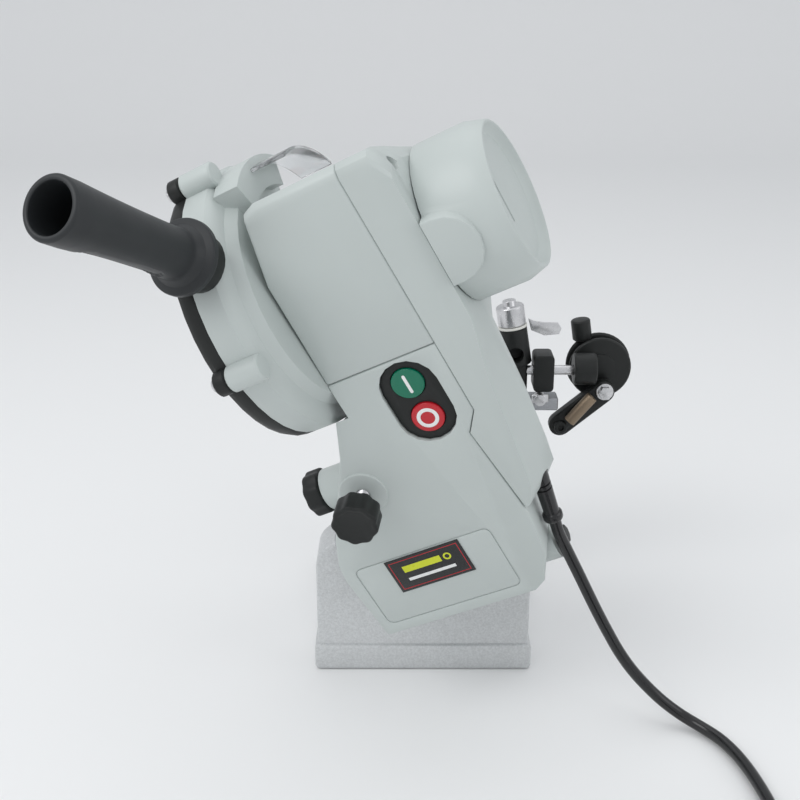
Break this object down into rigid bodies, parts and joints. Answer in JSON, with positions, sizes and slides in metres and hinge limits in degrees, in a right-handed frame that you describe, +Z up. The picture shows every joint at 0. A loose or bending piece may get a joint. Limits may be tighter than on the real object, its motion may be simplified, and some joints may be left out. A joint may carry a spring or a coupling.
{
  "type": "bench grinder",
  "caption": "Bench-mounted saw chain grinder: a tilted motor head with a thin guarded wheel swings on a cast base over a small chain vise with an indexing dial.",
  "frame": {"origin": "centre of the foot's underside, on the bench", "axes": "+Z up, +Y from the operator towards the vise, +X to the operator's right, towards the motor"},
  "size_m": [0.3924, 0.4645, 0.3855],
  "materials": {
    "cast_base": "fine cast grain under silver paint",
    "cast_dark": "bare die casting, satin",
    "housing_grey": "fine spark-eroded texture, satin",
    "black_plastic": "glass-filled, fine texture",
    "grip_black": "soft satin moulding",
    "steel": "zinc plated, satin",
    "steel_dark": "lamination steel, oiled",
    "bronze": "sintered bronze, dull",
    "wheel_grit": "vitrified abrasive, open grain",
    "clear_plastic": "clear polycarbonate, polished",
    "button_green": "smooth with a raised white mark",
    "button_red": "smooth with a raised white mark",
    "label": "printed film under clear coat",
    "cord_black": "glossy PVC jacket",
    "white_nylon": "natural nylon, satin"
  },
  "bodies": {
    "stand": {"base": "cast_base", "cord": "cord_black", "cord_coil": "cord_black", "cord_tail": "cord_black", "cord_tie": "cord_black", "plug": "cord_black"},
    "tilt": {"tilt_yoke": "cast_dark", "tilt_shaft": "steel", "tilt_nut": "steel", "hinge_pin": "steel"},
    "arm": {"lower_cover": "housing_grey", "arm_frame": "cast_dark", "return_spring": "steel", "upper_housing": "housing_grey", "right_shell": "housing_grey", "motor_can": "housing_grey", "stator": "steel_dark", "front_bearing": "steel", "rear_bearing": "steel", "guard_shell": "housing_grey", "guard_cover": "black_plastic", "guard_screw_1": "steel", "guard_screw_2": "steel", "handle_boss": "black_plastic", "handle_grip": "grip_black", "handle_stud": "steel", "switch_plate": "black_plastic", "switch_body": "black_plastic", "label_plate": "label", "strain_relief": "cord_black"},
    "wheel_set": {"spindle": "steel", "grinding_wheel": "wheel_grit", "inner_flange": "steel", "outer_flange": "steel", "wheel_nut": "steel", "rotor": "steel_dark"},
    "start_button": {"green_button": "button_green"},
    "stop_button": {"red_button": "button_red"},
    "front_lock": {"lock_knob": "black_plastic", "lock_stud": "steel"},
    "swing_lock": {"swing_knob": "black_plastic"},
    "depth_screw": {"depth_knob": "black_plastic"},
    "shield": {"clear_shield": "clear_plastic"},
    "vise": {"vise_table": "cast_dark", "fixed_jaw": "steel", "clamp_column": "black_plastic", "nylon_washer": "white_nylon", "feed_rod": "steel", "rod_bracket": "black_plastic", "rod_collar": "black_plastic", "dial_back": "black_plastic", "dial_bolt": "steel", "dial_link": "black_plastic", "link_sleeve": "bronze", "wing_nut": "steel"},
    "jaw": {"moving_jaw": "steel"},
    "clamp": {"clamp_barrel": "steel", "clamp_lever": "steel"},
    "dial": {"dial_front": "black_plastic"}
  },
  "joints": [
    {"name": "head_tilt", "type": "hinge", "parent": "stand", "child": "tilt", "pos_m": [0.012, -0.06, 0.112], "axis": [0, 0.8829, 0.4695], "range_deg": [-5, 35], "deforming": ["cord"]},
    {"name": "arm_swing", "type": "hinge", "parent": "tilt", "child": "arm", "pos_m": [0.0039, -0.11174, 0.13209], "axis": [-0.866, 0.2347, -0.4415], "range_deg": [0, 55], "stiffness_Nm_per_rad": 2.4, "springref_deg": -34.38, "deforming": ["return_spring", "cord"]},
    {"name": "spindle_spin", "type": "hinge", "parent": "arm", "child": "wheel_set", "pos_m": [-0.07765, -0.12664, 0.28415], "axis": [0.866, -0.2347, 0.4415], "continuous": true},
    {"name": "green_press", "type": "slide", "parent": "arm", "child": "start_button", "axis": [0.1462, 0.9632, 0.2254], "range_m": [0, 0.002], "stiffness_N_per_m": 400, "springref_m": -0.001},
    {"name": "red_press", "type": "slide", "parent": "arm", "child": "stop_button", "axis": [0.1462, 0.9632, 0.2254], "range_m": [0, 0.002], "stiffness_N_per_m": 400, "springref_m": -0.001},
    {"name": "front_lock_turn", "type": "hinge", "parent": "arm", "child": "front_lock", "pos_m": [-0.03761, -0.15317, 0.16749], "axis": [0.1462, 0.9632, 0.2254], "continuous": true},
    {"name": "swing_lock_turn", "type": "hinge", "parent": "arm", "child": "swing_lock", "pos_m": [-0.06111, -0.1013, 0.14739], "axis": [0.866, -0.2347, 0.4415], "continuous": true},
    {"name": "depth_screw_turn", "type": "hinge", "parent": "arm", "child": "depth_screw", "pos_m": [0.08195, -0.13103, 0.12841], "axis": [0.866, -0.2347, 0.4415], "continuous": true},
    {"name": "shield_turn", "type": "hinge", "parent": "arm", "child": "shield", "pos_m": [-0.07765, -0.12664, 0.28415], "axis": [0.866, -0.2347, 0.4415], "range_deg": [-30, 0]},
    {"name": "vise_turn", "type": "hinge", "parent": "stand", "child": "vise", "pos_m": [0.012, 0.06, 0.14], "axis": [0, 0, 1], "range_deg": [-35, 35]},
    {"name": "jaw_slide", "type": "slide", "parent": "vise", "child": "jaw", "axis": [0, 1, 0], "range_m": [0, 0.0045]},
    {"name": "clamp_turn", "type": "hinge", "parent": "vise", "child": "clamp", "pos_m": [0.0655, 0.06, 0.224], "axis": [0.1676, 0, -0.9859], "range_deg": [0, 60]},
    {"name": "dial_turn", "type": "hinge", "parent": "vise", "child": "dial", "pos_m": [0.138, 0.072, 0.17], "axis": [0, 1, 0], "continuous": true}
  ]
}
